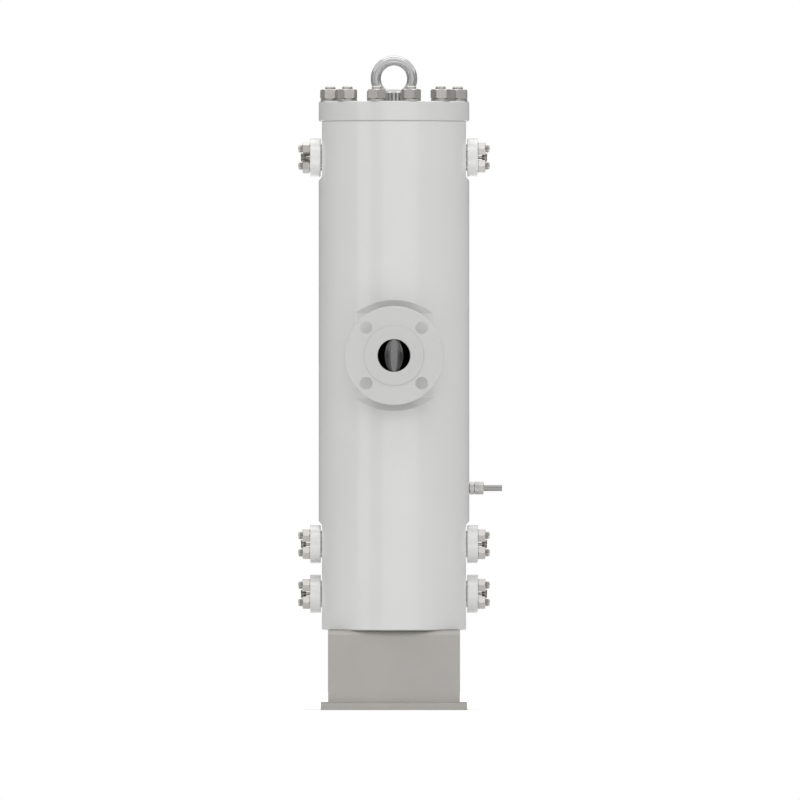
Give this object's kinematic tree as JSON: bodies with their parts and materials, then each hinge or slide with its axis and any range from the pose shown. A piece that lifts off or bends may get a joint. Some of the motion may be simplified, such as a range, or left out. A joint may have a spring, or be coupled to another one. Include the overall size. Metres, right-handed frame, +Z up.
{
  "type": "simplex filter",
  "caption": "Upright simplex process filter: bolted-lid vessel with in-line flanges, lift-out basket, blind-covered side ports, bleed screws, pressure tap and bent-plate stand.",
  "frame": {"origin": "on the floor, under the middle of the base plate, on the vessel's axis", "axes": "+Z up along the vessel's axis; the inlet flange faces -Y and the outlet flange +Y; +X is the side of the pressure tap"},
  "size_m": [0.3139, 0.326, 1.0073],
  "materials": {
    "vessel_paint": "smooth light grey coat, semi-gloss",
    "fastener_steel": "plain steel, satin",
    "forged_steel": "forged and polished steel",
    "fitting_steel": "machined steel",
    "stainless": "smooth drawn stainless steel",
    "mesh": "woven wire",
    "stand_paint": "matt warm grey coat",
    "seal_rubber": "matt black rubber"
  },
  "bodies": {
    "vessel": {"vessel_body": "vessel_paint", "inlet_flange": "vessel_paint", "outlet_flange": "vessel_paint", "flow_sleeve": "stainless", "sleeve_seal": "seal_rubber", "outlet_spigot": "stainless", "spigot_seal": "seal_rubber", "lid_seal": "seal_rubber", "lid_studs": "fastener_steel", "vent_cover_left": "vessel_paint", "vent_cover_right": "vessel_paint", "upper_drain_cover_left": "vessel_paint", "upper_drain_cover_right": "vessel_paint", "lower_drain_cover_left": "vessel_paint", "lower_drain_cover_right": "vessel_paint", "port_seals": "seal_rubber", "port_studs": "fastener_steel", "port_nuts": "fastener_steel", "tap_body": "fitting_steel", "tap_ferrule": "fitting_steel", "tap_nut": "fitting_steel", "tap_tube": "fitting_steel", "stand_bracket": "stand_paint", "base_plate": "stand_paint", "stand_bolts": "fastener_steel", "stand_washers": "fastener_steel"},
    "lid_set": {"lid": "vessel_paint", "lid_washers": "fastener_steel", "lid_nuts": "fastener_steel", "lifting_eye": "forged_steel"},
    "basket": {"basket_rim": "stainless", "basket_tube": "stainless", "basket_mesh": "mesh", "basket_bottom": "stainless", "basket_seal": "seal_rubber"},
    "handle": {"basket_handle": "stainless"},
    "vent_screw_travel_left": {"vent_screw_seal_left": "seal_rubber"},
    "vent_screw_left": {"vent_screw_left": "fitting_steel"},
    "vent_screw_travel_right": {"vent_screw_seal_right": "seal_rubber"},
    "vent_screw_right": {"vent_screw_right": "fitting_steel"},
    "upper_drain_screw_travel_left": {"upper_drain_screw_seal_left": "seal_rubber"},
    "upper_drain_screw_left": {"upper_drain_screw_left": "fitting_steel"},
    "upper_drain_screw_travel_right": {"upper_drain_screw_seal_right": "seal_rubber"},
    "upper_drain_screw_right": {"upper_drain_screw_right": "fitting_steel"},
    "lower_drain_screw_travel_left": {"lower_drain_screw_seal_left": "seal_rubber"},
    "lower_drain_screw_left": {"lower_drain_screw_left": "fitting_steel"},
    "lower_drain_screw_travel_right": {"lower_drain_screw_seal_right": "seal_rubber"},
    "lower_drain_screw_right": {"lower_drain_screw_right": "fitting_steel"}
  },
  "joints": [
    {"name": "lid_lift", "type": "slide", "parent": "vessel", "child": "lid_set", "axis": [0, 0, 1], "range_m": [0, 0.8]},
    {"name": "basket_lift", "type": "slide", "parent": "vessel", "child": "basket", "axis": [0, 0, 1], "range_m": [0, 0.72]},
    {"name": "handle_swing", "type": "hinge", "parent": "basket", "child": "handle", "pos_m": [0, 0, 0.8097], "axis": [-1, 0, 0], "range_deg": [0, 90]},
    {"name": "vent_screw_slide_left", "type": "slide", "parent": "vessel", "child": "vent_screw_travel_left", "axis": [-1, 0, 0], "range_m": [0, 0.0038]},
    {"name": "vent_screw_turn_left", "type": "hinge", "parent": "vent_screw_travel_left", "child": "vent_screw_left", "pos_m": [-0.13, 0, 0.85], "axis": [-1, 0, 0], "range_deg": [0, 1080]},
    {"name": "vent_screw_slide_right", "type": "slide", "parent": "vessel", "child": "vent_screw_travel_right", "axis": [1, 0, 0], "range_m": [0, 0.0038]},
    {"name": "vent_screw_turn_right", "type": "hinge", "parent": "vent_screw_travel_right", "child": "vent_screw_right", "pos_m": [0.13, 0, 0.85], "axis": [1, 0, 0], "range_deg": [0, 1080]},
    {"name": "upper_drain_screw_slide_left", "type": "slide", "parent": "vessel", "child": "upper_drain_screw_travel_left", "axis": [-1, 0, 0], "range_m": [0, 0.0038]},
    {"name": "upper_drain_screw_turn_left", "type": "hinge", "parent": "upper_drain_screw_travel_left", "child": "upper_drain_screw_left", "pos_m": [-0.13, 0, 0.2545], "axis": [-1, 0, 0], "range_deg": [0, 1080]},
    {"name": "upper_drain_screw_slide_right", "type": "slide", "parent": "vessel", "child": "upper_drain_screw_travel_right", "axis": [1, 0, 0], "range_m": [0, 0.0038]},
    {"name": "upper_drain_screw_turn_right", "type": "hinge", "parent": "upper_drain_screw_travel_right", "child": "upper_drain_screw_right", "pos_m": [0.13, 0, 0.2545], "axis": [1, 0, 0], "range_deg": [0, 1080]},
    {"name": "lower_drain_screw_slide_left", "type": "slide", "parent": "vessel", "child": "lower_drain_screw_travel_left", "axis": [-1, 0, 0], "range_m": [0, 0.0038]},
    {"name": "lower_drain_screw_turn_left", "type": "hinge", "parent": "lower_drain_screw_travel_left", "child": "lower_drain_screw_left", "pos_m": [-0.13, 0, 0.178], "axis": [-1, 0, 0], "range_deg": [0, 1080]},
    {"name": "lower_drain_screw_slide_right", "type": "slide", "parent": "vessel", "child": "lower_drain_screw_travel_right", "axis": [1, 0, 0], "range_m": [0, 0.0038]},
    {"name": "lower_drain_screw_turn_right", "type": "hinge", "parent": "lower_drain_screw_travel_right", "child": "lower_drain_screw_right", "pos_m": [0.13, 0, 0.178], "axis": [1, 0, 0], "range_deg": [0, 1080]}
  ],
  "couplings": [
    {"joint": "basket_lift", "follows": "lid_lift", "ratio": 0.9},
    {"joint": "vent_screw_slide_left", "follows": "vent_screw_turn_left", "m_per_rad": 0.00019894},
    {"joint": "vent_screw_slide_right", "follows": "vent_screw_turn_right", "m_per_rad": 0.00019894},
    {"joint": "upper_drain_screw_slide_left", "follows": "upper_drain_screw_turn_left", "m_per_rad": 0.00019894},
    {"joint": "upper_drain_screw_slide_right", "follows": "upper_drain_screw_turn_right", "m_per_rad": 0.00019894},
    {"joint": "lower_drain_screw_slide_left", "follows": "lower_drain_screw_turn_left", "m_per_rad": 0.00019894},
    {"joint": "lower_drain_screw_slide_right", "follows": "lower_drain_screw_turn_right", "m_per_rad": 0.00019894}
  ]
}
